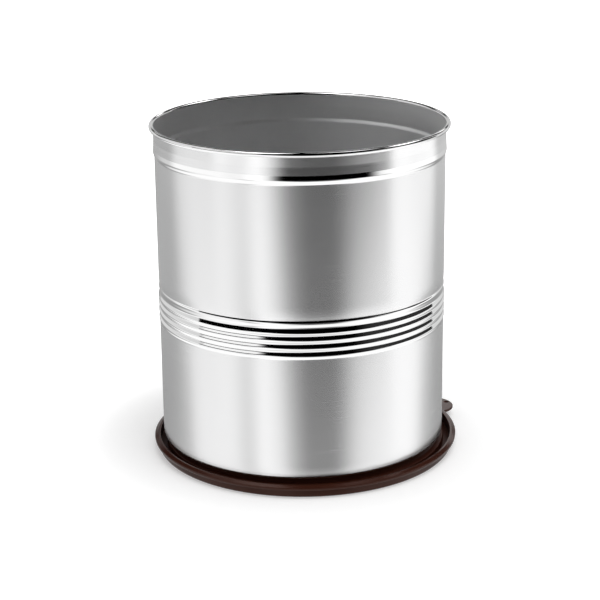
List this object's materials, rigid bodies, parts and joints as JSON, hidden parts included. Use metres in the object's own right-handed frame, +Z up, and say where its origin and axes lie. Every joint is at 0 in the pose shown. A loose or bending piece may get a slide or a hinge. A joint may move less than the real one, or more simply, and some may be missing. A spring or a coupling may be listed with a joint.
{
  "type": "sheet steel storage drum with plastic lid",
  "caption": "Round stainless steel kitchen storage drum with a curled rim and a ribbed waist, standing open on its upturned brown plastic snap lid.",
  "frame": {"origin": "centre of the upturned lid on the floor", "axes": "+Z up along the drum, out of its open mouth; the lid's pull tab points between +X and +Y, 25.6 degrees from +X"},
  "size_m": [0.2189, 0.2166, 0.2343],
  "materials": {
    "brown_plastic": "dark brown moulded plastic with a soft sheen",
    "steel_sheet": "stainless steel brushed round the wall, with mirror polished ribs and rim",
    "steel_wire": "drawn steel wire, hidden in the rim",
    "steel_pan": "pressed stainless steel with fine turning lines"
  },
  "bodies": {
    "lid": {"lid": "brown_plastic"},
    "drum": {"drum_wall": "steel_sheet", "rim_wire": "steel_wire", "base_pan": "steel_pan"}
  },
  "joints": [
    {"name": "drum_lift", "type": "slide", "parent": "lid", "child": "drum", "axis": [0, 0, 1], "range_m": [0, 0.08]}
  ]
}
